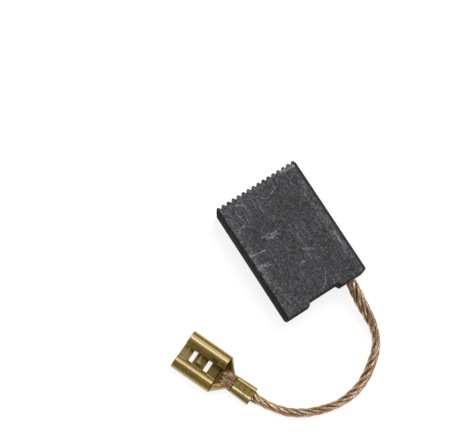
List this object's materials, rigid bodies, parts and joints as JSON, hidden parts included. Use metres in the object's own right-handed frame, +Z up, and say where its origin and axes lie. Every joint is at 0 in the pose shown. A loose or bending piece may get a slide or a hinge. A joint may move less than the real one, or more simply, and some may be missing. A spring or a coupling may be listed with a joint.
{
  "type": "carbon brush",
  "caption": "Flat graphite motor brush with a ridged contact face and a stranded copper lead to a push-on receptacle.",
  "frame": {"origin": "centre of the graphite block's lower wide face, the block lying flat", "axes": "+Y runs along the block's 22.2 mm length towards the end where the copper lead leaves, +Z is up through its 6.3 mm thickness, +X is across its 16 mm width, away from the side where the lead leaves"},
  "size_m": [0.0364, 0.0392, 0.0063],
  "materials": {
    "graphite": "satin",
    "tamping_compound": "matte",
    "copper": "satin",
    "brass": "satin"
  },
  "bodies": {
    "root": {"carbon_block": "graphite", "tamping_plug": "tamping_compound", "pigtail": "copper", "terminal": "brass"}
  },
  "joints": []
}
